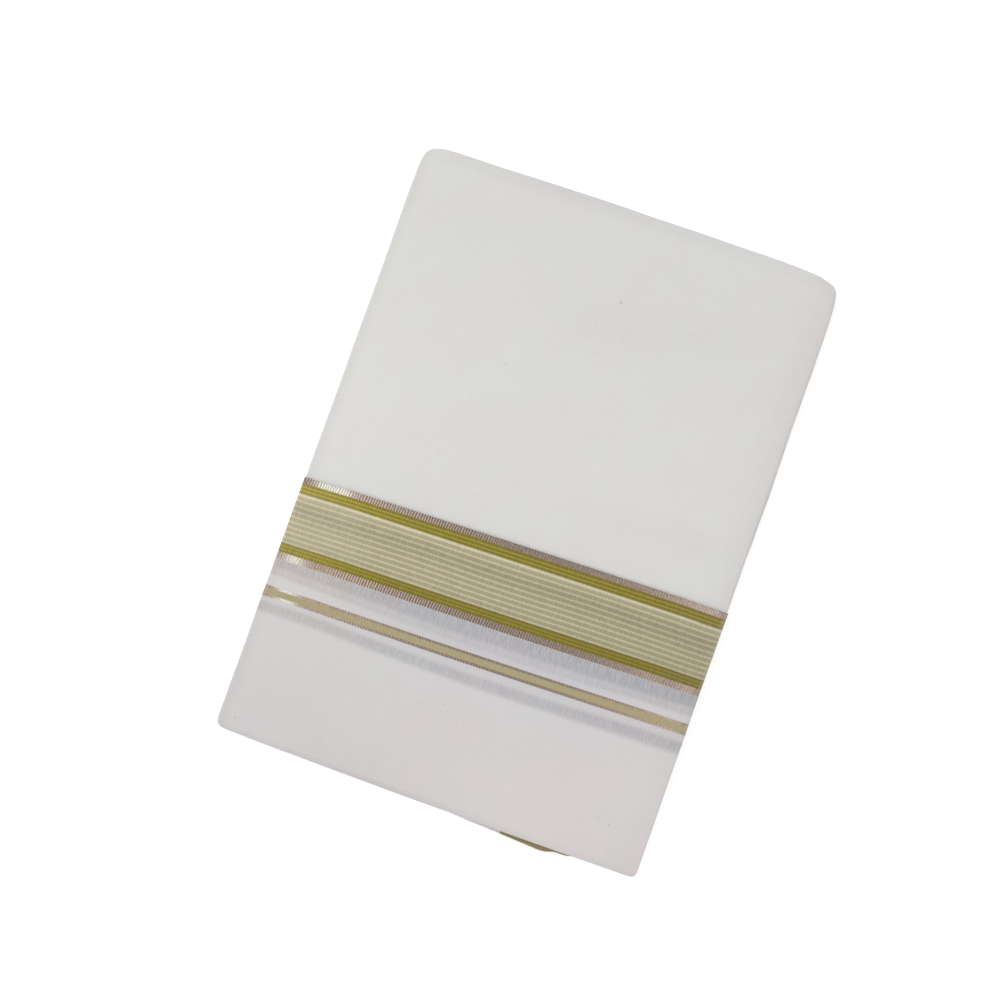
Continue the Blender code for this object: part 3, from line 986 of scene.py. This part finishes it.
def cream_stripes(look, across, along, streak, threads, slubs):
    """The main band: cream with paler lines, with painted shade where the folds beneath it shade it and
    painted light at its top.
    """
    swing = look.math("COSINE", look.times(across, 2 * math.pi / LINE_WAVE))
    drift = look.changed(swing, -LINE_DRIFT, LINE_DRIFT)
    inside = look.times(look.span(along, *LINE_DRIFT_START), look.span(along, *LINE_DRIFT_STOP))
    past = look.math("ADD", look.math("SUBTRACT", along, LINE_START), look.times(drift, inside))
    pitch = look.changed(past, -LINE_TIGHTER, LINE_PITCH)
    off = look.math("PINGPONG", look.math("DIVIDE", past, pitch), 0.5)
    between = look.mix(look.span(across, *CREAM_LEFT), CREAM_DARK, CREAM_LIGHT)
    colour = look.mix(look.span(off, *LINE_EDGE), between, CREAM_LIGHT)
    palest = look.times(look.span(along, *CREAM_PALEST_EDGE), CREAM_PALEST_SHARE)
    colour = look.mix(palest, colour, CREAM_PALEST)

    middle = look.changed(across, *FOLD_SHADE_MIDDLE)
    off = look.math("DIVIDE", look.math("SUBTRACT", along, middle), FOLD_SHADE_REACH)
    near = look.math("EXPONENT", look.times(look.times(off, off), -1.0))
    slub = look.span(look.grain(across, along, **SLUB_GRAIN), *SLUB_FROM)
    nick = look.span(look.grain(across, along, **NICK_GRAIN), *NICK_FROM)
    shade = look.total(
        look.span(along, *CREAM_TOP_LIGHT),
        look.span(along, *CREAM_LOW),
        look.span(along, *CREAM_END),
        look.times(near, FOLD_SHADE),
        look.about(streak, CREAM_STREAK),
        look.times(threads, CREAM_THREADS),
        look.about(slubs, CREAM_SLUBS),
        look.about(look.grain(across, along, **CREAM_GRAIN), CREAM_PATCHES),
        look.times(slub, SLUB_SHADE),
        look.times(nick, NICK_SHADE),
    )
    return look.shaded(colour, shade)


def olive_stripes(look, across, along, streak, rib):
    """Olive with two paler lines, its threads crossed by the ribs, which show most on the left, with a
    painted sheen there.
    """
    half = OLIVE_LINE_HALF
    lines = look.total(*[look.band(along, at - half, at + half, half) for at in OLIVE_LINES])
    lines = look.times(lines, look.span(along, *OLIVE_LINE_SHARE))
    ribs = look.times(rib, look.span(across, *OLIVE_RIBS))
    colour = look.mix(look.math("ADD", lines, ribs), OLIVE_DARK, OLIVE_LIGHT)
    colour = look.mix(look.span(look.math("ABSOLUTE", across), *OLIVE_ENDS), colour, OLIVE_GREYED)
    shade = look.times(look.changed(streak, *OLIVE_STREAK), look.span(across, *OLIVE_LEFT_SHEEN))
    shade = look.times(shade, look.span(along, *OLIVE_LOWER))
    return look.shaded(colour, look.changed(ribs, OLIVE_RIB_SHADE, shade))


def metallic_thread(look, across, along, rib, gleam):
    """Metallic thread over the weave, in ribs across the stripe, with a painted highlight and painted glints.
    """
    upper, lower = (
        look.math("SUBTRACT", look.span(across, *left), look.span(across, *right))
        for left, right in (UPPER_RIBS, LOWER_RIBS)
    )
    depth = look.changed(look.span(along, *LOWER_RIBS_START), look.math("SUBTRACT", lower, upper), upper)
    depth = look.times(depth, look.span(along, *FINE_RIBS))
    share = look.total(
        look.times(rib, depth),
        look.times(look.wave(along, TWIST), TWIST_SHARE),
        look.changed(look.grain(across, along, **SPARKLE_GRAIN), *SPARKLE),
    )
    share = look.math("ADD", share, 0.0, clamp=True)
    # Painted highlight and shade along the border, and painted glints mixed in where it gleams most
    colour = look.shaded(look.mix(share, ZARI_DARK, ZARI_LIGHT), look.math("MINIMUM", gleam, MOST_GLEAM))
    glint = look.times(look.span(gleam, *GLINT_GLEAM), look.span(share, *GLINT_SHARE))
    return look.mix(glint, colour, ZARI_GLINT)


def bordered_cotton():
    look = Look("bordered_cotton")
    across, along = look.cloth()
    height, slubs = weave(look, across, along)
    first, second, gleam = look.parts(look.attribute("border", "Vector"))
    streak = look.span(look.grain(across, along, **STREAK_GRAIN), *STREAK)
    threads = fine_threads(look, across, along)
    rib = leaning_ribs(look, across, along)

    # The flap's cotton, with its painted shade
    shaded_flap_cotton = tuple(c * t for c, t in zip(COTTON, FLAP_SHADE))
    ground = cotton_colour(look, height, slubs, shaded_flap_cotton)
    ground = show_through(look, across, along, first, second, streak, threads, ground)
    # Painted sheen: cream and olive lighter on the left and darker on the right
    fade = look.changed(across, *BORDER_SHEEN_SLOPE)
    cream = look.shaded(cream_stripes(look, across, along, streak, threads, slubs), fade)
    olive = look.shaded(olive_stripes(look, across, along, streak, rib), fade)
    khaki = look.shaded(KHAKI, look.changed(streak, *KHAKI_STREAK))
    zari = metallic_thread(look, across, along, rib, gleam)

    ragged = look.changed(rib, RIB_RAGGED, along)
    zari_mask = look.total(*[look.band(ragged, *band, ZARI_SOFT) for band in ZARI_BANDS + FINE_ZARI])
    olive_mask = look.total(*[look.band(along, *band, STRIPE_SOFT) for band in OLIVE_BANDS])
    haze = look.times(look.band(along, *HAZE_ALONG), look.band(across, *HAZE_ACROSS))
    colour = ground
    for share, stripe in (
        (look.band(along, *CREAM_BAND, STRIPE_SOFT), cream),
        (look.band(along, *KHAKI_BAND, STRIPE_SOFT), khaki),
        (olive_mask, olive),
        (zari_mask, zari),
        (look.times(haze, HAZE_SHARE), HAZE),
    ):
        colour = look.mix(share, colour, stripe)
    look.surface(
        Base_Color=colour,
        Metallic=look.times(zari_mask, ZARI_METALLIC),
        Roughness=look.span(zari_mask, *ZARI_ROUGHNESS),
    )
    relief(look, height, slubs, look.times(look.times(rib, zari_mask), RIB_RELIEF))
    return look.material


# The inner border that the sliver shows: its colours, its threads, and where across it the white cotton ends
SLIVER_DARK = linear(130, 114, 72)
SLIVER_LIGHT = linear(160, 146, 108)
SLIVER_RIBS = (0.3, 0.5)
SLIVER_SLUBS = (0.4, 0.8)
SLIVER_OLIVE = 46.8
SLIVER_SOFT = 0.3


def olive_border():
    look = Look("olive_border")
    across, along = look.cloth()
    height, slubs = weave(look, across, along)
    colour = look.mix(look.changed(look.wave(across, RIB), *SLIVER_RIBS), SLIVER_DARK, SLIVER_LIGHT)
    colour = look.shaded(colour, look.changed(slubs, *SLIVER_SLUBS))
    white = look.tinted(COTTON, look.attribute("tone_and_shade", "Color"))
    olive = look.span(across, SLIVER_OLIVE - SLIVER_SOFT, SLIVER_OLIVE + SLIVER_SOFT)
    look.surface(Base_Color=look.mix(olive, white, colour), Roughness=0.7)
    look.bump(height, RELIEF)
    return look.material


# Pieces


def build_flap(material):
    """The flap's outer ply, which turns down by its own thickness at the selvedge."""
    stations = flap_stations(FLAP_SPACING)
    stations += upper_bottom_fold(last(stations))
    edge = dict(stations[0], z=stations[0]["z"] - PLY)
    sections = [flap_skin(at) for at in stations]
    rows, places = swept([sections[0]] + sections, [edge] + stations)
    return grid_piece("flap_cloth", rows, places, material)


def build_panels(material):
    stations = panel_stations(PANEL_SPACING)
    rows, places = swept([panel_skin(at) for at in stations], stations)
    return grid_piece("panel_cloth", rows, places, material, outward=False)


def build_stack(name, stations, covered, material):
    """The stack of plies, with both ends closed by a last row drawn flat, to its middle height."""
    rows, places = swept([ply_stack(at, covered) for at in stations], stations)
    first, final = rows[0].copy(), rows[-1].copy()
    for row in (first, final):
        row[:, 2] = row[:, 2].mean()
    rows = np.concatenate([first[None], rows, final[None]])
    places = np.concatenate([places[:1], places, places[-1:]])
    return grid_piece(name, rows, places, material, closed=True)


def build_flap_plies(material):
    stations = flap_stations(FLAP_PLY_SPACING)
    stations[0] = dict(stations[0], y=stations[0]["y"] - STACK_START)
    stations += upper_bottom_fold(last(stations))
    return build_stack("flap_plies", stations, "upper", material)


def build_inner_plies(material):
    stations = panel_stations(PANEL_PLY_SPACING)
    stations += run(FOLD_Y, INNER_END_Y, INNER, 1.0, last(stations), PANEL_PLY_SPACING, bare=1.0)
    return build_stack("inner_plies", stations, "lower", material)


def build_sliver(material):
    """A fold that peeks out of the groove between the two bottom folds."""
    middle = FRONT - GAP / 2
    root = -HALF_LENGTH + SLIVER_ROOT
    at_x, reach = np.array(SLIVER).T * MM
    rows, places = [], []
    for x in steps(at_x[0], at_x[-1], SLIVER_SPACING):
        nose = -HALF_LENGTH - float(np.interp(x, at_x, reach)) + SLIVER_RADIUS
        points = [(root, middle + SLIVER_RADIUS)]
        points += arc(nose, middle, SLIVER_RADIUS, 90, 270, SLIVER_STEPS)
        points += [(root, middle - SLIVER_RADIUS)]
        y, z = np.array(points).T
        level = np.full(len(y), x)
        rows.append(np.stack(packet(level, y, z), axis=1))
        places.append(np.stack([level, measured_along(y, z)], axis=1))
    return grid_piece("inner_border", np.array(rows), np.array(places), material)


bordered = bordered_cotton()
flap = build_flap(bordered)
flap_plies = build_flap_plies(bordered)
panels = build_panels(white_cotton())
inner_plies = build_inner_plies(layered_cotton())
sliver = build_sliver(olive_border())

for piece, nodes, slot in (
    (flap, ("border_flap",), "bordered_cotton"),
    (flap_plies, ("border_flap",), "bordered_cotton"),
    (panels, ("front_panel", "back_panel"), "white_cotton"),
    (inner_plies, ("hidden_layers",), "layered_cotton"),
    (sliver, ("inner_border_edge",), "olive_border"),
):
    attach(piece, "root")
    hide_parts(*nodes)

# The stage: a white floor that glows a little, a white sky, and one large lamp
FLOOR_REACH = 15
FLOOR_Z = -0.0002
FLOOR_GLOW = 0.34
SKY_STRENGTH = 0.86
LAMP_PLACE = (-1.5, 0.8, 2.2)
LAMP_SIZE = 1.4
LAMP_ENERGY = 22
LAMP_COLOUR = (1.0, 0.995, 0.98)


def build_floor():
    corners = ((-1, -1), (1, -1), (1, 1), (-1, 1))
    mesh = bpy.data.meshes.new("floor")
    mesh.from_pydata([(x * FLOOR_REACH, y * FLOOR_REACH, FLOOR_Z) for x, y in corners], [], [(0, 1, 2, 3)])
    floor = bpy.data.objects.new("floor", mesh)
    bpy.context.scene.collection.objects.link(floor)
    look = Look("floor")
    look.surface(Base_Color=(0.9, 0.9, 0.9, 1), Roughness=0.9)
    look.surface(Emission_Color=(1, 1, 1, 1), Emission_Strength=FLOOR_GLOW)
    mesh.materials.append(look.material)


def build_light():
    world = bpy.data.worlds.new("studio")
    bpy.context.scene.world = world
    world.use_nodes = True
    background = world.node_tree.nodes["Background"]
    background.inputs["Color"].default_value = (1.0, 1.0, 1.0, 1)
    background.inputs["Strength"].default_value = SKY_STRENGTH
    lamp = bpy.data.lights.new("window", "AREA")
    lamp.shape = "DISK"
    lamp.size = LAMP_SIZE
    lamp.energy = LAMP_ENERGY
    lamp.color = LAMP_COLOUR
    holder = bpy.data.objects.new("window", lamp)
    holder.location = LAMP_PLACE
    direction = -holder.location.normalized()
    holder.rotation_mode = "QUATERNION"
    holder.rotation_quaternion = direction.to_track_quat("-Z", "Y")
    bpy.context.scene.collection.objects.link(holder)


def build_camera():
    lens = bpy.data.cameras.new("photo_view")
    lens.sensor_width = SENSOR
    lens.lens = SENSOR * (VIEW_HEIGHT - VIEW_PLANE) / VIEW_WIDTH
    camera = bpy.data.objects.new("photo_view", lens)
    camera.location = (VIEW_X, VIEW_Y, VIEW_HEIGHT)
    camera.rotation_euler = (0, 0, math.radians(VIEW_TURN))
    bpy.context.scene.collection.objects.link(camera)
    bpy.context.scene.camera = camera
    bpy.context.scene.view_settings.view_transform = "Standard"


build_floor()
build_light()
build_camera()
